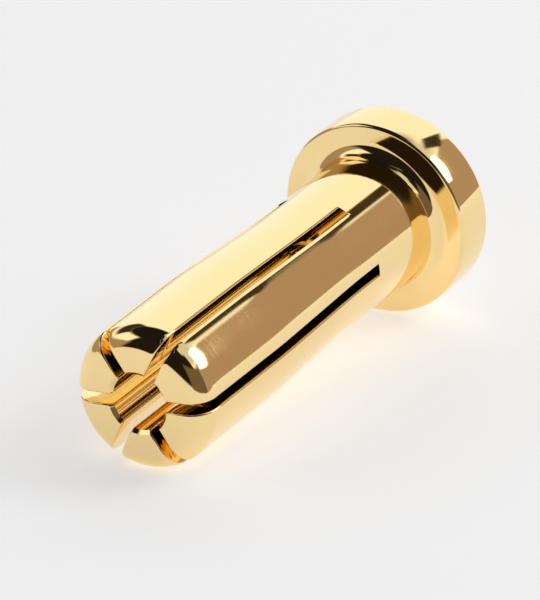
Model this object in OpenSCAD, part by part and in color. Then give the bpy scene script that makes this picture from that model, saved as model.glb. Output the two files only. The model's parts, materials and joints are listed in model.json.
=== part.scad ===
// Low-profile 4 mm bullet plug for a battery lead, turned from one bar and plated.
// The plug stands on its head. +Z runs up the pin to its tip, the origin is the
// centre of the head's outer face, and the solder pocket opens towards +Y.

/* [Pin] */
// Overall length, from the head's outer face to the tip
overall_l = 14; // [12:0.1:18]
// Diameter of the unslit root of the pin
root_d = 3.75; // [3.2:0.05:4]
// Diameter over the sprung fingers, where they touch the socket
contact_d = 4.1; // [4:0.05:4.6]
// Length of the straight contact band, up to the tip's round
contact_l = 3; // [2:0.1:6]
// Radius of the round between the contact band and the tip face
tip_round = 0.65; // [0.3:0.05:0.9]
// Radius of the fillet between the pin and the head
root_fillet = 0.4; // [0.1:0.05:0.6]

/* [Fingers] */
// Number of cuts across the pin, each of which makes two slits
cross_cuts = 3; // [2:1:4]
// Width of a slit
slit_w = 0.3; // [0.2:0.05:0.45]
// Length of solid pin between the head and the ends of the slits
slit_stop = 3; // [2:0.1:4]
// Length of straight finger between the ends of the slits and the flare
flare_delay = 0.5; // [0.2:0.1:0.8]
// Diameter of the bore inside the fingers
bore_d = 1.6; // [1:0.05:2]
// How far the full bore runs past the ends of the slits
bore_overrun = 0.4; // [0.1:0.05:0.8]
// Width of the countersink at the bore's mouth
bore_chamfer = 0.1; // [0.05:0.01:0.2]

/* [Head] */
// Diameter of the head
head_d = 5.5; // [5.4:0.05:6.5]
// Thickness of the head
head_t = 1.35; // [1.1:0.05:2]
// Radius of the round on the head's two edges
head_edge = 0.1; // [0.05:0.01:0.15]

/* [Solder pocket] */
// Width of the pocket between its straight walls
pocket_w = 3.75; // [2.5:0.05:4]
// Depth of the pocket below the head's outer face
pocket_depth = 0.7; // [0.4:0.05:0.8]

/* [Hidden] */
$fn = 96;
gold = [0.93, 0.74, 0.42];
drill_point_angle = 118;
cut_margin = 1;

head_r = head_d / 2;
root_r = root_d / 2;
contact_r = contact_d / 2;
bore_r = bore_d / 2;
slit_foot = head_t + slit_stop;
flare_foot = slit_foot + flare_delay;
contact_top = overall_l - tip_round;
contact_foot = contact_top - contact_l;
bore_foot = slit_foot - bore_overrun;
drill_point_h = bore_r / tan(drill_point_angle / 2);

// Half section of the head: a disc with a round on each edge
module head_section() {
    square([head_r - head_edge, head_t]);
    translate([0, head_edge])
        square([head_r, head_t - 2 * head_edge]);
    for (z = [head_edge, head_t - head_edge])
        translate([head_r - head_edge, z])
            circle(r = head_edge);
}

// Half section of the fillet where the pin leaves the head
module fillet_section() {
    translate([root_r, head_t])
        difference() {
            square(root_fillet);
            translate([root_fillet, root_fillet])
                circle(r = root_fillet);
        }
}

// Half section of the pin: root, flare up to the contact band, and rounded tip
module pin_section() {
    polygon([
        [0, head_edge],
        [root_r, head_edge],
        [root_r, flare_foot],
        [contact_r, contact_foot],
        [contact_r, contact_top],
        [0, contact_top]
    ]);
    translate([0, contact_top])
        square([contact_r - tip_round, tip_round]);
    intersection() {
        translate([contact_r - tip_round, contact_top])
            circle(r = tip_round);
        square([contact_r, overall_l]);
    }
}

// The turned blank, before it is drilled, slit and milled
module blank() {
    rotate_extrude() {
        head_section();
        fillet_section();
        pin_section();
    }
}

// Drilled bore with its drill point and a small countersink at the mouth
module bore() {
    rotate_extrude()
        polygon([
            [0, bore_foot - drill_point_h],
            [bore_r, bore_foot],
            [bore_r, overall_l - bore_chamfer],
            [bore_r + bore_chamfer + cut_margin, overall_l + cut_margin],
            [0, overall_l + cut_margin]
        ]);
}

// Saw cuts across the pin, evenly turned about its axis, with one along X
module slits() {
    cut_l = contact_d + 2 * cut_margin;
    cut_h = overall_l - slit_foot + cut_margin;
    for (i = [0 : cross_cuts - 1])
        rotate([0, 0, i * 180 / cross_cuts])
            translate([-cut_l / 2, -slit_w / 2, slit_foot])
                cube([cut_l, slit_w, cut_h]);
}

// Milled pocket for the wire: a round closed end on the axis, open towards +Y
module solder_pocket() {
    translate([0, 0, -cut_margin])
        cylinder(h = pocket_depth + cut_margin, d = pocket_w);
    translate([-pocket_w / 2, 0, -cut_margin])
        cube([pocket_w, head_r + cut_margin, pocket_depth + cut_margin]);
}

// The whole plug, which is one piece of metal
module plug() {
    color(gold)
        difference() {
            blank();
            bore();
            slits();
            solder_pocket();
        }
}

plug();
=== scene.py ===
"""Looks of a low-profile bullet plug for a battery lead.

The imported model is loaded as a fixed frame. Around it this script builds one smooth, closed mesh
of the plug, dresses it in gold plate, and sets up a small studio in which the plug lies on its
side. Lengths in the classes are millimetres, and turn into metres when a mesh is made.
"""

import json
import logging
import math
from dataclasses import dataclass, field
from enum import Enum

import bmesh
import bpy
from mathutils import Matrix, Vector


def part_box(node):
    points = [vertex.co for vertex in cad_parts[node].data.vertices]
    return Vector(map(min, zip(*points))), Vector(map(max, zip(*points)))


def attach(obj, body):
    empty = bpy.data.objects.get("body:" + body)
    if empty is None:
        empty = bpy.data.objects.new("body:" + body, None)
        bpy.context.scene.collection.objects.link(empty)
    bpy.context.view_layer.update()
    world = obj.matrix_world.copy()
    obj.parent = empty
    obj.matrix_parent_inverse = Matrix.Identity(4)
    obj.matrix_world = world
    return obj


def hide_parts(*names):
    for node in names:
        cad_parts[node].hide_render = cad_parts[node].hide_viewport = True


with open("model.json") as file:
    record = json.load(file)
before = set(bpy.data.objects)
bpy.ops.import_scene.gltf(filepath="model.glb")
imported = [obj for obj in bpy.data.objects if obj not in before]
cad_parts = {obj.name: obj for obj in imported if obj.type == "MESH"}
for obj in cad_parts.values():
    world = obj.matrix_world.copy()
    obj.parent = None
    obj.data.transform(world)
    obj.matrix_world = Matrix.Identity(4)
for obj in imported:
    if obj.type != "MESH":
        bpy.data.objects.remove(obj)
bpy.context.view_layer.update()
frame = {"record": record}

log = logging.getLogger("bullet_plug")

MM = 0.001

Colour = tuple[float, float, float]


class Side(Enum):
    """The two sides of a slit or of the pocket, as the sign of the offset from its centre."""

    LEFT = -1
    RIGHT = 1


class Ray(Enum):
    """Kinds of ray that see the studio's own colours, named as Light Path's outputs are."""

    CAMERA = "Is Camera Ray"
    GLOSSY = "Is Glossy Ray"


def mount(name: str) -> dict:
    """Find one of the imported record's mounts.

    Args:
        name: The mount's name.

    Returns:
        The mount's entry in the record.
    """
    return next(m for m in frame["record"]["mounts"] if m["name"] == name)


def socket_id(tree: bpy.types.NodeTree, name: str) -> str:
    """Find the identifier of a node group's named input.

    Args:
        tree: The node group.
        name: The input's name.

    Returns:
        The identifier that a modifier uses for that input.
    """
    return next(
        item.identifier
        for item in tree.interface.items_tree
        if item.item_type == "SOCKET" and item.in_out == "INPUT" and item.name == name
    )


@dataclass
class Sketch:
    """Points and faces of a mesh in millimetres, where equal points are one point."""

    points: list[Vector] = field(default_factory=list)
    faces: list[tuple[int, ...]] = field(default_factory=list)
    known: dict[tuple[int, ...], int] = field(default_factory=dict)
    grain: float = 1e-5

    def point(self, at: Vector) -> int:
        """Add a point, or find the one that is already there.

        Args:
            at: The place, in millimetres.

        Returns:
            The point's index.
        """
        key = tuple(round(c / self.grain) for c in at)
        if key not in self.known:
            self.known[key] = len(self.points)
            self.points.append(Vector(at))
        return self.known[key]

    def face(self, corners: list[Vector]) -> None:
        """Add a face through the corners, leaving out corners that fall together."""
        loop: list[int] = []
        for corner in corners:
            index = self.point(corner)
            if not loop or index != loop[-1]:
                loop.append(index)
        if loop[0] == loop[-1]:
            loop.pop()
        if len(loop) > 2:
            self.faces.append(tuple(loop))

    def strip(self, lower: list[Vector], upper: list[Vector]) -> None:
        """Join two rows of as many points with a row of faces."""
        for i in range(len(lower) - 1):
            self.face([lower[i], lower[i + 1], upper[i + 1], upper[i]])

    def mesh(self, name: str) -> bpy.types.Mesh:
        """Make the mesh, in metres.

        Args:
            name: The mesh's name.

        Returns:
            The new mesh.
        """
        made = bpy.data.meshes.new(name)
        made.from_pydata([p * MM for p in self.points], [], self.faces)
        made.update()
        return made


@dataclass(frozen=True)
class Ring:
    """One ring of a turned surface: its radius, its height and its outward normal."""

    radius: float
    height: float
    out: float
    up: float

    def at(self, angle: float) -> Vector:
        """The ring's point at an angle about the axis, in radians."""
        return Vector((math.cos(angle) * self.radius, math.sin(angle) * self.radius, self.height))

    def normal(self, angle: float) -> Vector:
        """The outward normal of the surface at an angle about the axis."""
        return Vector((self.out * math.cos(angle), self.out * math.sin(angle), self.up)).normalized()


def arc(centre: tuple[float, float], radius: float, start: float, end: float, steps: int,
        hollow: bool = False) -> list[Ring]:
    """Rings along a round of the turned profile.

    Args:
        centre: Radius and height of the round's centre.
        radius: The round's own radius.
        start: Angle of the first ring, in degrees from straight out.
        end: Angle of the last ring, in degrees.
        steps: Number of steps between them.
        hollow: Whether the metal lies outside the round, as in a fillet.

    Returns:
        The rings, first and last included.
    """
    facing = -1 if hollow else 1
    rings = []
    for i in range(steps + 1):
        turn = math.radians(start + (end - start) * i / steps)
        c, s = math.cos(turn), math.sin(turn)
        rings.append(Ring(centre[0] + radius * c, centre[1] + radius * s, facing * c, facing * s))
    return rings


def rounded_edge(edge: Vector, normal: Vector, away: Vector, radius: float,
                 steps: int) -> list[Vector]:
    """Points that round a surface over into a wall that is square to it.

    Args:
        edge: Where the surface ends, one radius short of the wall.
        normal: The surface's outward normal there.
        away: Direction from the wall into the metal.
        radius: Radius of the rounding.
        steps: Number of steps over the quarter turn.

    Returns:
        The points from the surface to the wall, both ends included.
    """
    centre = edge - normal * radius
    quarter = math.pi / 2
    return [
        centre + radius * (math.cos(turn) * normal - math.sin(turn) * away)
        for turn in (quarter * i / steps for i in range(steps + 1))
    ]


@dataclass
class ContactPin:
    """The hollow slit pin: one slit and half a finger to each side, repeated about the axis."""

    length: float
    head_t: float
    contact_r: float
    contact_foot: float
    contact_top: float
    root_r: float = 1.875
    root_fillet: float = 0.4
    slit_stop: float = 3.0
    slit_w: float = 0.3
    flare_delay: float = 0.5
    flare_ease: float = 0.25
    bore_r: float = 0.8
    bore_overrun: float = 0.4
    bore_chamfer: float = 0.1
    drill_point: float = 118.0
    slit_edge: float = 0.045
    fingers: int = 6
    finger_steps: int = 9
    slit_steps: int = 4
    edge_steps: int = 3
    fillet_steps: int = 9
    flare_steps: int = 16
    band_steps: int = 8
    tip_steps: int = 12
    weld: float = 1e-4

    @property
    def slit_foot(self) -> float:
        """Height at which the slits end."""
        return self.head_t + self.slit_stop

    @property
    def half_sector(self) -> float:
        """Half the angle from one slit to the next."""
        return math.pi / self.fingers

    @property
    def foot_radius(self) -> float:
        """Radius at which the fillet runs out on the head."""
        return self.root_r + self.root_fillet

    def edge_angle(self, radius: float) -> float:
        """Angle from a slit's middle to where the surface starts to round into its wall."""
        return math.asin((self.slit_w / 2 + self.slit_edge) / radius)

    def flare(self, height: float) -> Ring:
        """The finger's outer surface between root and contact band: a cone with eased ends."""
        foot, ease = self.slit_foot + self.flare_delay, self.flare_ease
        run = self.contact_foot - foot
        share = (height - foot) / run
        end = min(share, 1 - share, ease)
        grown = end * end / (2 * ease) / (1 - ease)
        if end == ease:
            grown = (share - ease / 2) / (1 - ease)
        elif share > 0.5:
            grown = 1 - grown
        slope = end / ease / (1 - ease) * (self.contact_r - self.root_r) / run
        return Ring(self.root_r + (self.contact_r - self.root_r) * grown, height, 1, -slope)

    def skirt(self) -> list[Ring]:
        """Rings of the unslit root, from the fillet's foot up to the ends of the slits."""
        centre = (self.foot_radius, self.head_t + self.root_fillet)
        fillet = arc(centre, self.root_fillet, -90, -180, self.fillet_steps, hollow=True)
        rise = self.slit_foot - centre[1]
        shares = (0.1, 0.3, 0.55, 0.8, 0.95, 1)
        return fillet + [Ring(self.root_r, centre[1] + rise * s, 1, 0) for s in shares]

    def shank(self) -> list[Ring]:
        """Rings of the fingers' outside, from the ends of the slits up to the tip's round."""
        slits, foot, delay = self.slit_foot, self.slit_foot + self.flare_delay, self.flare_delay
        straight = [Ring(self.root_r, slits + delay * s, 1, 0) for s in (0, 0.2, 0.6)]
        run = self.contact_foot - foot
        flare = [self.flare(foot + run * i / self.flare_steps) for i in range(self.flare_steps)]
        rise = self.contact_top - self.contact_foot
        band = [
            Ring(self.contact_r, self.contact_foot + rise * i / self.band_steps, 1, 0)
            for i in range(self.band_steps + 1)
        ]
        return straight + flare + band

    def tip(self) -> list[Ring]:
        """Rings over the tip: its round, its flat face and the countersink of the bore."""
        round_r = self.length - self.contact_top
        centre = (self.contact_r - round_r, self.contact_top)
        shoulder = arc(centre, round_r, 0, 90, self.tip_steps)[1:]
        inner = self.bore_r + self.bore_chamfer
        mid = (centre[0] + inner) / 2
        lean = math.pi / 8
        lip = math.sin(lean), math.cos(lean)
        return shoulder + [
            Ring(mid, self.length, 0, 1),
            Ring(inner, self.length, -lip[0], lip[1]),
            Ring(self.bore_r, self.length - self.bore_chamfer, -lip[1], lip[0]),
        ]

    def bore(self) -> list[Ring]:
        """Rings of the bore beside the shank's, from the tip down to the ends of the slits."""
        return [Ring(self.bore_r, ring.height, -1, 0) for ring in reversed(self.shank())]

    def well(self) -> list[Ring]:
        """Rings of the bore below the slits, down to the foot of its straight wall."""
        foot, overrun = self.slit_foot, self.bore_overrun
        return [Ring(self.bore_r, foot - overrun * s, -1, 0) for s in (0, 0.4, 1)]

    def finger_row(self, ring: Ring, side: Side) -> list[Vector]:
        """Points of a ring from a slit's edge out to the middle of the finger beside it."""
        edge = self.edge_angle(ring.radius)
        step = (self.half_sector - edge) / self.finger_steps
        return [ring.at(side.value * (edge + step * i)) for i in range(self.finger_steps + 1)]

    def slit_arc(self, ring: Ring) -> list[Vector]:
        """Points of a ring right across a slit's width, both edges included."""
        edge = self.edge_angle(ring.radius)
        return [ring.at(edge * (2 * i / self.slit_steps - 1)) for i in range(self.slit_steps + 1)]

    def solid_row(self, ring: Ring) -> list[Vector]:
        """Points of a ring across the whole sector, where there is no slit."""
        left = self.finger_row(ring, Side.LEFT)[::-1]
        return left[:-1] + self.slit_arc(ring) + self.finger_row(ring, Side.RIGHT)[1:]

    def edge_row(self, ring: Ring, side: Side) -> list[Vector]:
        """Points that round a ring's end over into the slit's wall."""
        turn = side.value * self.edge_angle(ring.radius)
        away = Vector((0, side.value, 0))
        return rounded_edge(ring.at(turn), ring.normal(turn), away, self.slit_edge, self.edge_steps)

    def sector(self) -> Sketch:
        """Draw one slit with the half fingers beside it and the root below them."""
        sketch = Sketch()
        shank, bore, well = self.shank(), self.bore(), self.well()
        for rings in (self.skirt(), well):
            rows = [self.solid_row(r) for r in rings]
            for lower, upper in zip(rows, rows[1:]):
                sketch.strip(lower, upper)
        point_h = self.bore_r / math.tan(math.radians(self.drill_point / 2))
        apex = Vector((0, 0, well[-1].height - point_h))
        rim = self.solid_row(well[-1])
        for a, b in zip(rim, rim[1:]):
            sketch.face([a, b, apex])
        chain = shank + self.tip() + bore
        for side in Side:
            faces = [self.finger_row(r, side) for r in chain]
            edges = [self.edge_row(r, side) for r in chain]
            for rows in (faces, edges):
                for lower, upper in zip(rows, rows[1:]):
                    sketch.strip(lower, upper)
            self.slit_wall(sketch, [row[-1] for row in edges], len(shank))
        self.slit_foot_face(sketch, shank[0], bore[-1])
        return sketch

    def slit_wall(self, sketch: Sketch, edge: list[Vector], count: int) -> None:
        """Fill one flat wall of a slit.

        Args:
            sketch: The sketch that takes the faces.
            edge: The wall's edge, up the outside, over the tip and down the bore.
            count: How many of its points lie on the shank, and as many on the bore.
        """
        outer, inner = edge[:count], edge[-count:][::-1]
        sketch.strip(outer, inner)
        sketch.face(edge[count - 1:len(edge) - count + 1])

    def slit_foot_face(self, sketch: Sketch, outer: Ring, inner: Ring) -> None:
        """Close the bottom of a slit with one flat face."""
        sketch.face(
            self.slit_arc(outer)
            + self.edge_row(outer, Side.RIGHT)
            + self.edge_row(inner, Side.RIGHT)[::-1]
            + self.slit_arc(inner)[::-1]
            + self.edge_row(inner, Side.LEFT)
            + self.edge_row(outer, Side.LEFT)[::-1]
        )

    def repeat_tree(self) -> bpy.types.NodeTree:
        """Make the node group that sets the sector round the axis as often as asked.

        Returns:
            The group, with the inputs Geometry, Fingers, Weld and Finish.
        """
        tree = bpy.data.node_groups.new("fingers_about_axis", "GeometryNodeTree")
        face = tree.interface
        face.new_socket("Geometry", in_out="INPUT", socket_type="NodeSocketGeometry")
        face.new_socket("Fingers", in_out="INPUT", socket_type="NodeSocketInt")
        face.new_socket("Weld", in_out="INPUT", socket_type="NodeSocketFloat")
        face.new_socket("Finish", in_out="INPUT", socket_type="NodeSocketMaterial")
        face.new_socket("Geometry", in_out="OUTPUT", socket_type="NodeSocketGeometry")
        new, link = tree.nodes.new, tree.links.new
        given, done = new("NodeGroupInput"), new("NodeGroupOutput")
        places, index = new("GeometryNodePoints"), new("GeometryNodeInputIndex")
        share, turn = new("ShaderNodeMath"), new("ShaderNodeMath")
        share.operation, turn.operation = "DIVIDE", "MULTIPLY"
        turn.inputs[1].default_value = 2 * math.pi
        angle, setting = new("ShaderNodeCombineXYZ"), new("GeometryNodeInstanceOnPoints")
        real, weld = new("GeometryNodeRealizeInstances"), new("GeometryNodeMergeByDistance")
        finish = new("GeometryNodeSetMaterial")
        link(given.outputs["Fingers"], places.inputs["Count"])
        link(index.outputs[0], share.inputs[0])
        link(given.outputs["Fingers"], share.inputs[1])
        link(share.outputs[0], turn.inputs[0])
        link(turn.outputs[0], angle.inputs["Z"])
        link(places.outputs[0], setting.inputs["Points"])
        link(given.outputs["Geometry"], setting.inputs["Instance"])
        link(angle.outputs[0], setting.inputs["Rotation"])
        link(setting.outputs[0], real.inputs[0])
        link(real.outputs[0], weld.inputs["Geometry"])
        link(given.outputs["Weld"], weld.inputs["Distance"])
        link(weld.outputs[0], finish.inputs["Geometry"])
        link(given.outputs["Finish"], finish.inputs["Material"])
        link(finish.outputs[0], done.inputs[0])
        return tree

    def build(self, finish: bpy.types.Material) -> bpy.types.Mesh:
        """Make the whole pin as a plain mesh, open only where it meets the head.

        Args:
            finish: The material of the pin.

        Returns:
            The pin's mesh.
        """
        holder = bpy.data.objects.new("pin_sector", self.sector().mesh("pin_sector"))
        bpy.context.scene.collection.objects.link(holder)
        tree = self.repeat_tree()
        modifier = holder.modifiers.new("fingers", "NODES")
        modifier.node_group = tree
        modifier[socket_id(tree, "Fingers")] = self.fingers
        modifier[socket_id(tree, "Weld")] = self.weld * MM
        modifier[socket_id(tree, "Finish")] = finish
        bpy.context.view_layer.update()
        graph = bpy.context.evaluated_depsgraph_get()
        made = bpy.data.meshes.new_from_object(holder.evaluated_get(graph))
        bpy.data.objects.remove(holder)
        return made


@dataclass
class SolderHead:
    """The round head, with the milled pocket that the wire is soldered into."""

    pin: ContactPin
    radius: float
    thickness: float
    pocket_depth: float
    pocket_w: float = 3.75
    edge: float = 0.1
    pocket_edge: float = 0.05
    edge_steps: int = 6
    pocket_steps: int = 4

    @property
    def edge_centre(self) -> float:
        """Radius on which the rounds of the head's two edges are centred."""
        return self.radius - self.edge

    @property
    def shelf(self) -> float:
        """Half the pocket's width, out to where its rim starts to round."""
        return self.pocket_w / 2 + self.pocket_edge

    def angles(self) -> list[float]:
        """Angles of the points on every ring, which are those of the pin's fillet."""
        row = self.pin.solid_row(self.pin.skirt()[0])
        first = [math.atan2(p.y, p.x) for p in row[:-1]]
        turns = [2 * self.pin.half_sector * k for k in range(self.pin.fingers)]
        return sorted((a + turn) % (2 * math.pi) for turn in turns for a in first)

    def corner(self, radius: float) -> float:
        """Angle at which a ring of this radius meets the pocket's right-hand rim."""
        return math.acos(self.shelf / radius)

    def build(self) -> bpy.types.Mesh:
        """Make the head's mesh, open only where it meets the pin.

        Returns:
            The head's mesh.
        """
        sketch = Sketch()
        angles = self.angles()
        meet = self.corner(self.radius)
        right = min(range(len(angles)), key=lambda i: abs(angles[i] - meet))
        left = min(range(len(angles)), key=lambda i: abs(angles[i] - math.pi + meet))
        closed = angles[left:] + angles[:right + 1]
        opening = angles[right + 1:left]
        back = [Ring(self.pin.foot_radius, self.thickness, 0, 1)]
        back += arc((self.edge_centre, self.thickness - self.edge), self.edge, 90, 0, self.edge_steps)
        whole = angles + angles[:1]
        for lower, upper in zip(back, back[1:]):
            sketch.strip([lower.at(a) for a in whole], [upper.at(a) for a in whole])
        floor = Ring(self.radius, self.pocket_depth, 1, 0)
        front = [floor] + arc((self.edge_centre, self.edge), self.edge, 0, -90, self.edge_steps)
        rows = [self.closed_row(ring, closed) for ring in front]
        open_side = [floor.at(a) for a in opening]
        side = [back[-1].at(a) for a in closed + opening + closed[:1]]
        sketch.strip(side, rows[0] + open_side + rows[0][:1])
        for upper, lower in zip(rows, rows[1:]):
            sketch.strip(upper, lower)
        self.pocket(sketch, front, rows, open_side, closed)
        return sketch.mesh("solder_head")

    def closed_row(self, ring: Ring, closed: list[float]) -> list[Vector]:
        """Points of a ring round the closed side, from one end of the pocket to the other."""
        meet = self.corner(ring.radius)
        inner = [ring.at(a) for a in closed[1:-1]]
        return [ring.at(math.pi - meet)] + inner + [ring.at(meet)]

    def pocket(self, sketch: Sketch, front: list[Ring], rows: list[list[Vector]],
               open_side: list[Vector], closed: list[float]) -> None:
        """Draw the rim's face, the pocket's rounded edge, its wall and its floor.

        Args:
            sketch: The sketch that takes the faces.
            front: Rings from the pocket's floor level down to the head's outer face.
            rows: The points of those rings round the closed side.
            open_side: Points of the floor's edge where the pocket opens, from right to left.
            closed: Angles round the closed side, from the left end to the right end.
        """
        rim = [self.rim_point(a) for a in closed]
        rim[0], rim[-1] = rows[-1][0], rows[-1][-1]
        sketch.strip(rows[-1], rim)
        out, size, steps = Vector((0, 0, -1)), self.pocket_edge, self.pocket_steps
        over = [rounded_edge(p, out, self.inward(p), size, steps) for p in rim]
        for a, b in zip(over, over[1:]):
            sketch.strip(a, b)
        wall = [row[-1] for row in over]
        foot = [Vector((p.x, p.y, self.pocket_depth)) for p in wall]
        sketch.strip(wall[1:-1], foot[1:-1])
        ends = {}
        for side, index in ((Side.LEFT, 0), (Side.RIGHT, -1)):
            away = Vector((side.value, 0, 0))
            chain = []
            for ring, row in zip(front, rows):
                at = row[index]
                chain.append(rounded_edge(at, ring.normal(math.atan2(at.y, at.x)), away, size, steps))
            for a, b in zip(chain, chain[1:]):
                sketch.strip(a, b)
            beside = 1 if side is Side.LEFT else -2
            sketch.face([edge[-1] for edge in chain] + [wall[beside], foot[beside]])
            ends[side] = chain[0]
        sketch.face(foot[1:-1] + ends[Side.RIGHT][::-1] + open_side + ends[Side.LEFT])

    def rim_point(self, angle: float) -> Vector:
        """The rim's inner edge as seen from the axis at an angle."""
        c, s = math.cos(angle), math.sin(angle)
        if s < 0:
            return Vector((self.shelf * c, self.shelf * s, 0))
        side = math.copysign(self.shelf, c)
        return Vector((side, abs(self.shelf * s / c), 0))

    def inward(self, at: Vector) -> Vector:
        """Direction from the pocket into the metal at a point of its rim."""
        if at.y < 0:
            return Vector((at.x, at.y, 0)).normalized()
        return Vector((math.copysign(1, at.x), 0, 0))


@dataclass(frozen=True)
class GoldPlate:
    """Bright gold plate over turned brass, with the lathe's fine lines still in it."""

    tint: Colour = (1.0, 0.77, 0.39)
    deep_tint: Colour = (0.97, 0.73, 0.34)
    polish: float = 0.03
    dullest: float = 0.10
    line_pitch: float = 0.045
    line_depth: float = 0.00035
    line_strength: float = 0.35
    mottle_size: float = 1.6
    noise_low: float = 0.12
    noise_high: float = 0.42

    def make(self, name: str) -> bpy.types.Material:
        """Build the material.

        Args:
            name: The material's name.

        Returns:
            The new material.
        """
        made = bpy.data.materials.new(name)
        made.use_nodes = True
        tree = made.node_tree
        new, link = tree.nodes.new, tree.links.new
        surface = tree.nodes["Principled BSDF"]
        surface.inputs["Metallic"].default_value = 1.0
        place, split = new("ShaderNodeTexCoord"), new("ShaderNodeSeparateXYZ")
        link(place.outputs["Object"], split.inputs[0])
        flat = new("ShaderNodeVectorMath")
        flat.operation = "MULTIPLY"
        flat.inputs[1].default_value = (1, 1, 0)
        link(place.outputs["Object"], flat.inputs[0])
        radius = new("ShaderNodeVectorMath")
        radius.operation = "LENGTH"
        link(flat.outputs[0], radius.inputs[0])
        along = new("ShaderNodeMath")
        along.operation = "ADD"
        link(radius.outputs["Value"], along.inputs[0])
        link(split.outputs["Z"], along.inputs[1])
        lines = new("ShaderNodeTexNoise")
        lines.noise_dimensions = "1D"
        lines.inputs["Scale"].default_value = 1 / (self.line_pitch * MM)
        lines.inputs["Detail"].default_value = 2
        link(along.outputs[0], lines.inputs["W"])
        mottle = new("ShaderNodeTexNoise")
        mottle.inputs["Scale"].default_value = 1 / (self.mottle_size * MM)
        mottle.inputs["Detail"].default_value = 4
        link(place.outputs["Object"], mottle.inputs["Vector"])
        mixed = new("ShaderNodeMath")
        mixed.operation = "MULTIPLY"
        link(lines.outputs["Fac"], mixed.inputs[0])
        link(mottle.outputs["Fac"], mixed.inputs[1])
        polish = new("ShaderNodeMapRange")
        polish.inputs["From Min"].default_value = self.noise_low
        polish.inputs["From Max"].default_value = self.noise_high
        polish.inputs["To Min"].default_value = self.polish
        polish.inputs["To Max"].default_value = self.dullest
        link(mixed.outputs[0], polish.inputs["Value"])
        link(polish.outputs["Result"], surface.inputs["Roughness"])
        tint = new("ShaderNodeMix")
        tint.data_type = "RGBA"
        tint.inputs["A"].default_value = (*self.tint, 1)
        tint.inputs["B"].default_value = (*self.deep_tint, 1)
        link(mottle.outputs["Fac"], tint.inputs["Factor"])
        link(tint.outputs["Result"], surface.inputs["Base Color"])
        bump = new("ShaderNodeBump")
        bump.inputs["Strength"].default_value = self.line_strength
        bump.inputs["Distance"].default_value = self.line_depth * MM
        link(lines.outputs["Fac"], bump.inputs["Height"])
        link(bump.outputs["Normal"], surface.inputs["Normal"])
        return made


@dataclass
class BulletPlug:
    """The whole plug: the slit pin and the head, joined into one closed piece of metal."""

    pin: ContactPin
    head: SolderHead
    finish: GoldPlate = field(default_factory=GoldPlate)
    weld: float = 2e-4
    sharp_above: float = math.radians(40)
    face_weight: int = 80

    @classmethod
    def in_frame(cls) -> "BulletPlug":
        """Take the plug's sizes from the frame: the node's box and the record's mounts.

        Returns:
            The plug, not built yet.
        """
        low, high = (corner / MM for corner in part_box("plug"))
        band, floor, shoulder = mount("contact_band"), mount("solder_floor"), mount("head_shoulder")
        head_t = shoulder["pos_m"][2] / MM
        middle, half = band["pos_m"][2] / MM, band["dims"]["length_mm"] / 2
        pin = ContactPin(high.z, head_t, band["dims"]["r_mm"], middle - half, middle + half)
        head_r = round((high.y - low.y) / 2, 2)
        return cls(pin, SolderHead(pin, head_r, head_t, floor["pos_m"][2] / MM))

    def build(self) -> bpy.types.Object:
        """Make the plug's mesh in the frame's own place.

        Returns:
            The plug's object, at the origin.
        """
        gold = self.finish.make("gold_plate")
        made = self.join([self.pin.build(gold), self.head.build()])
        made.materials.clear()
        made.materials.append(gold)
        plug = bpy.data.objects.new("bullet_plug", made)
        bpy.context.scene.collection.objects.link(plug)
        self.smooth(plug)
        return plug

    def join(self, meshes: list[bpy.types.Mesh]) -> bpy.types.Mesh:
        """Weld meshes that meet edge to edge into one, with its faces outwards.

        Args:
            meshes: The meshes to join.

        Returns:
            The joined mesh.
        """
        work = bmesh.new()
        for mesh in meshes:
            work.from_mesh(mesh)
        bmesh.ops.remove_doubles(work, verts=work.verts, dist=self.weld * MM)
        bmesh.ops.recalc_face_normals(work, faces=work.faces)
        loose = [e for e in work.edges if len(e.link_faces) != 2]
        log.info("joined plug: %d faces, %d open edges", len(work.faces), len(loose))
        made = bpy.data.meshes.new("bullet_plug")
        work.to_mesh(made)
        work.free()
        return made

    def smooth(self, plug: bpy.types.Object) -> None:
        """Shade the rounds smoothly and keep the flats flat."""
        plug.data.shade_smooth()
        plug.data.set_sharp_from_angle(angle=self.sharp_above)
        weigh = plug.modifiers.new("weighted_normals", "WEIGHTED_NORMAL")
        weigh.keep_sharp = True
        weigh.weight = self.face_weight

    def dress(self, plug: bpy.types.Object) -> None:
        """Tell the frame what the piece is: its body and the node that it replaces."""
        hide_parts("plug")
        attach(plug, "root")


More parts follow.
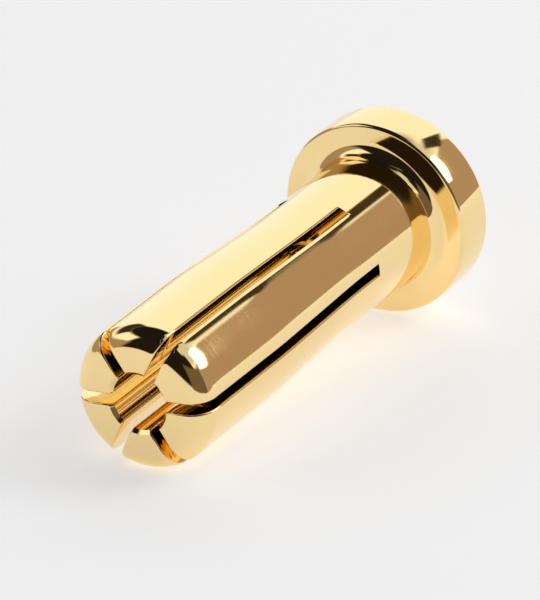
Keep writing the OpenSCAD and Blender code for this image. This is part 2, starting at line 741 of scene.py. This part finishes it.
@dataclass(frozen=True)
class Bench:
    """The floor that the plug lies on, as three directions and a point in the frame's own axes.

    The plug touches it with the back edge of its head and the top of its contact band. The floor's
    turn about the axis puts two slits in sight along the top.
    """

    head: SolderHead
    pin: ContactPin
    up_turn: float = math.radians(-34.72)
    sight_turn: float = math.radians(29.92)

    @property
    def back_edge(self) -> float:
        """Height along the axis at which the round of the head's back edge is centred."""
        return self.head.thickness - self.head.edge

    @property
    def tilt(self) -> float:
        """How far the pin dips towards its tip, in radians."""
        tip_round = self.pin.length - self.pin.contact_top
        fall = self.head.edge_centre - (self.pin.contact_r - tip_round)
        drop = tip_round - self.head.edge
        run = self.pin.contact_top - self.back_edge
        return math.atan2(fall, run) - math.asin(drop / math.hypot(fall, run))

    @property
    def up(self) -> Vector:
        """The floor's normal."""
        level, turn = math.cos(self.tilt), self.up_turn
        return Vector((level * math.cos(turn), level * math.sin(turn), -math.sin(self.tilt)))

    @property
    def point(self) -> Vector:
        """The point of the floor straight under the frame's origin, in millimetres."""
        reach = self.head.edge_centre * math.cos(self.tilt) + self.head.edge
        return self.up * -(reach + self.back_edge * math.sin(self.tilt))

    @property
    def tip_way(self) -> Vector:
        """Direction along the floor from the head to the tip."""
        axis = Vector((0, 0, 1))
        return (axis - self.up * axis.dot(self.up)).normalized()

    @property
    def away(self) -> Vector:
        """Direction along the floor that the camera looks in."""
        return -(Matrix.Rotation(self.sight_turn, 3, self.up) @ self.tip_way)

    @property
    def right(self) -> Vector:
        """Direction along the floor to the camera's right."""
        return self.away.cross(self.up)

    def spot(self, right: float, away: float) -> Vector:
        """A point of the floor, by its distances from the bench's point, in millimetres."""
        return self.point + self.right * right + self.away * away

    def towards(self, azimuth: float, height: float) -> Vector:
        """A direction, by azimuth from straight ahead to the right and by height, in degrees."""
        turn, rise = math.radians(azimuth), math.radians(height)
        level = self.right * math.sin(turn) + self.away * math.cos(turn)
        return level * math.cos(rise) + self.up * math.sin(rise)


@dataclass(frozen=True)
class Patch:
    """A part of the room round the bench, by azimuth from straight ahead and height, in degrees."""

    azimuth: float
    height: float
    half_width: float
    half_height: float
    soft: float
    colour: Colour


@dataclass(frozen=True)
class SoftBox:
    """A rectangular lamp that faces the plug: its place, its size and how bright its face is."""

    azimuth: float = 79.0
    height: float = 35.0
    width: float = 125.0
    tall: float = 145.0
    distance: float = 300.0
    radiance: float = 3.0


@dataclass
class Room:
    """The light around the bench: pale walls, with the darker parts that polished metal shows."""

    bench: Bench
    walls: Colour = (1.12, 1.12, 1.14)
    below: Colour = (0.95, 0.95, 0.96)
    seen: Colour = (0.955, 0.96, 0.97)
    horizon: tuple[float, float] = (-0.02, 0.0)
    patches: tuple[Patch, ...] = (
        Patch(0, 90, 180, 42, 8, (0.012, 0.011, 0.01)),
        Patch(92, 56, 50, 17, 8, (0.72, 0.72, 0.70)),
        Patch(-170, 28, 62, 27, 6, (0.015, 0.012, 0.01)),
        Patch(-69, 11, 42, 14, 6, (0.38, 0.30, 0.24)),
        Patch(-40, 41, 30, 10, 8, (0.04, 0.03, 0.025)),
        Patch(138, 14, 32, 20, 6, (0.16, 0.12, 0.08)),
        Patch(75, 14, 31, 22, 2, (0.43, 0.32, 0.25)),
        Patch(44, 39, 6, 4.5, 2, (0.05, 0.035, 0.015)),
    )

    def build(self) -> None:
        """Write the room into the scene's world."""
        world = bpy.data.worlds.new("studio")
        bpy.context.scene.world = world
        world.use_nodes = True
        tree = world.node_tree
        new, link = tree.nodes.new, tree.links.new
        back = tree.nodes["Background"]
        way = new("ShaderNodeTexCoord").outputs["Generated"]
        parts = [self.dot(tree, way, d) for d in (self.bench.right, self.bench.away, self.bench.up)]
        height = self.math(tree, "ARCSINE", parts[2])
        azimuth = self.math(tree, "ARCTAN2", parts[0], parts[1])
        above = self.between(tree, height, *self.horizon)
        colour = self.blend(tree, above, self.below, self.walls)
        for patch in self.patches:
            mask = self.mask(tree, azimuth, height, patch)
            colour = self.blend(tree, mask, colour, patch.colour)
        path = new("ShaderNodeLightPath")
        colour = self.blend(tree, path.outputs[Ray.CAMERA.value], colour, self.seen)
        link(colour, back.inputs["Color"])

    @staticmethod
    def math(tree: bpy.types.NodeTree, operation: str, *values: object) -> bpy.types.NodeSocket:
        """Add a Math node whose inputs are sockets or numbers, and return its output."""
        node = tree.nodes.new("ShaderNodeMath")
        node.operation = operation
        for socket, value in zip(node.inputs, values):
            if isinstance(value, bpy.types.NodeSocket):
                tree.links.new(value, socket)
            else:
                socket.default_value = value
        return node.outputs[0]

    @staticmethod
    def dot(tree: bpy.types.NodeTree, way: bpy.types.NodeSocket,
            direction: Vector) -> bpy.types.NodeSocket:
        """The share of a direction that lies along another."""
        node = tree.nodes.new("ShaderNodeVectorMath")
        node.operation = "DOT_PRODUCT"
        node.inputs[1].default_value = direction
        tree.links.new(way, node.inputs[0])
        return node.outputs["Value"]

    @staticmethod
    def between(tree: bpy.types.NodeTree, value: bpy.types.NodeSocket, low: float,
                high: float) -> bpy.types.NodeSocket:
        """Rise smoothly from 0 to 1 as the value goes from low to high."""
        node = tree.nodes.new("ShaderNodeMapRange")
        node.interpolation_type = "SMOOTHSTEP"
        tree.links.new(value, node.inputs["Value"])
        node.inputs["From Min"].default_value = low
        node.inputs["From Max"].default_value = high
        return node.outputs["Result"]

    @staticmethod
    def blend(tree: bpy.types.NodeTree, share: bpy.types.NodeSocket, first: object,
              second: object) -> bpy.types.NodeSocket:
        """Mix two colours, each of them a socket or three numbers."""
        node = tree.nodes.new("ShaderNodeMix")
        node.data_type = "RGBA"
        tree.links.new(share, node.inputs["Factor"])
        for socket, value in ((node.inputs["A"], first), (node.inputs["B"], second)):
            if isinstance(value, bpy.types.NodeSocket):
                tree.links.new(value, socket)
            else:
                socket.default_value = (*value, 1)
        return node.outputs["Result"]

    def mask(self, tree: bpy.types.NodeTree, azimuth: bpy.types.NodeSocket,
             height: bpy.types.NodeSocket, patch: Patch) -> bpy.types.NodeSocket:
        """How far a direction lies inside a patch, from 0 to 1.

        Args:
            tree: The world's node tree.
            azimuth: The direction's azimuth, in radians.
            height: The direction's height, in radians.
            patch: The patch.

        Returns:
            The socket that holds the share.
        """
        turned = self.math(tree, "SUBTRACT", azimuth, math.radians(patch.azimuth))
        around = self.math(tree, "ABSOLUTE", self.math(tree, "WRAP", turned, math.pi, -math.pi))
        raised = self.math(tree, "SUBTRACT", height, math.radians(patch.height))
        above = self.math(tree, "ABSOLUTE", raised)
        shares = []
        for value, half in ((around, patch.half_width), (above, patch.half_height)):
            low, high = math.radians(half - patch.soft / 2), math.radians(half + patch.soft / 2)
            outside = self.between(tree, value, low, high)
            shares.append(self.math(tree, "SUBTRACT", 1.0, outside))
        return self.math(tree, "MULTIPLY", *shares)


@dataclass
class Studio:
    """Floor, lamp and camera around the plug."""

    bench: Bench
    key: SoftBox = field(default_factory=SoftBox)
    elevation: float = math.radians(22.8)
    distance: float = 350.0
    view_height: float = 16.0
    sensor: float = 36.0
    floor_size: float = 700.0
    floor_colour: Colour = (0.80, 0.80, 0.80)
    floor_glow: Colour = (0.53, 0.535, 0.545)
    clip_start: float = 0.01

    def floor(self) -> bpy.types.Object:
        """Make the floor, which is seen from above only."""
        half = self.floor_size / 2
        ways = ((-half, -half), (half, -half), (half, half), (-half, half))
        corners = [self.bench.spot(right, away) * MM for right, away in ways]
        mesh = bpy.data.meshes.new("floor")
        mesh.from_pydata(corners, [], [(0, 1, 2, 3)])
        made = bpy.data.objects.new("floor", mesh)
        bpy.context.scene.collection.objects.link(made)
        mesh.materials.append(self.floor_material())
        return made

    def floor_material(self) -> bpy.types.Material:
        """Plain pale paper that takes a shadow and looks near white to the camera and to metal."""
        made = bpy.data.materials.new("paper")
        made.use_nodes = True
        tree = made.node_tree
        tree.nodes.clear()
        new, link = tree.nodes.new, tree.links.new
        diffuse, glow = new("ShaderNodeBsdfDiffuse"), new("ShaderNodeEmission")
        both = new("ShaderNodeAddShader")
        diffuse.inputs["Color"].default_value = (*self.floor_colour, 1)
        glow.inputs["Color"].default_value = (*self.floor_glow, 1)
        rays = [new("ShaderNodeLightPath").outputs[ray.value] for ray in Ray]
        looked_at = Room.math(tree, "MAXIMUM", *rays)
        link(looked_at, glow.inputs["Strength"])
        link(diffuse.outputs[0], both.inputs[0])
        link(glow.outputs[0], both.inputs[1])
        clear, choice = new("ShaderNodeBsdfTransparent"), new("ShaderNodeMixShader")
        facing, out = new("ShaderNodeNewGeometry"), new("ShaderNodeOutputMaterial")
        link(facing.outputs["Backfacing"], choice.inputs["Fac"])
        link(both.outputs[0], choice.inputs[1])
        link(clear.outputs[0], choice.inputs[2])
        link(choice.outputs[0], out.inputs["Surface"])
        return made

    def lamp(self) -> bpy.types.Object:
        """Add the soft box.

        Returns:
            The lamp, which the camera doesn't see.
        """
        key, way = self.key, self.bench.towards(self.key.azimuth, self.key.height)
        light = bpy.data.lights.new("key_box", "AREA")
        light.shape = "RECTANGLE"
        light.size, light.size_y = key.width * MM, key.tall * MM
        light.energy = key.radiance * math.pi * light.size * light.size_y
        made = bpy.data.objects.new("key_box", light)
        bpy.context.scene.collection.objects.link(made)
        made.location = (self.target() + way * key.distance) * MM
        made.rotation_mode = "QUATERNION"
        made.rotation_quaternion = way.to_track_quat("Z", "Y")
        made.visible_camera = False
        return made

    def target(self) -> Vector:
        """The point that the camera looks at, in millimetres: the middle of the plug."""
        low, high = (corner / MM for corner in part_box("plug"))
        return (low + high) / 2

    def camera(self) -> bpy.types.Object:
        """Set up the camera: upright over the bench, with the plug filling most of the frame."""
        away, up = self.bench.away, self.bench.up
        look = away * math.cos(self.elevation) - up * math.sin(self.elevation)
        lens = bpy.data.cameras.new("camera")
        made = bpy.data.objects.new("camera", lens)
        bpy.context.scene.collection.objects.link(made)
        right = self.bench.right
        upright = right.cross(look)
        turn = Matrix((right, upright, -look)).transposed().to_4x4()
        place = (self.target() - look * self.distance) * MM
        made.matrix_world = Matrix.Translation(place) @ turn
        lens.sensor_fit = "AUTO"
        lens.sensor_width = self.sensor
        lens.lens = self.sensor * self.distance / self.view_height
        lens.clip_start = self.clip_start
        bpy.context.scene.camera = made
        return made


def main() -> None:
    """Build the plug and the studio in order."""
    logging.basicConfig(level=logging.INFO, format="%(name)s: %(message)s")
    scene = bpy.context.scene
    scene.view_settings.view_transform = "Standard"
    maker = BulletPlug.in_frame()
    plug = maker.build()
    maker.dress(plug)
    log.info("%s: %d faces", plug.name, len(plug.data.polygons))
    bench = Bench(maker.head, maker.pin)
    studio = Studio(bench)
    studio.floor()
    Room(bench).build()
    studio.lamp()
    studio.camera()
    log.info("floor, room, lamp and camera are set")


if __name__ == "__main__":
    main()
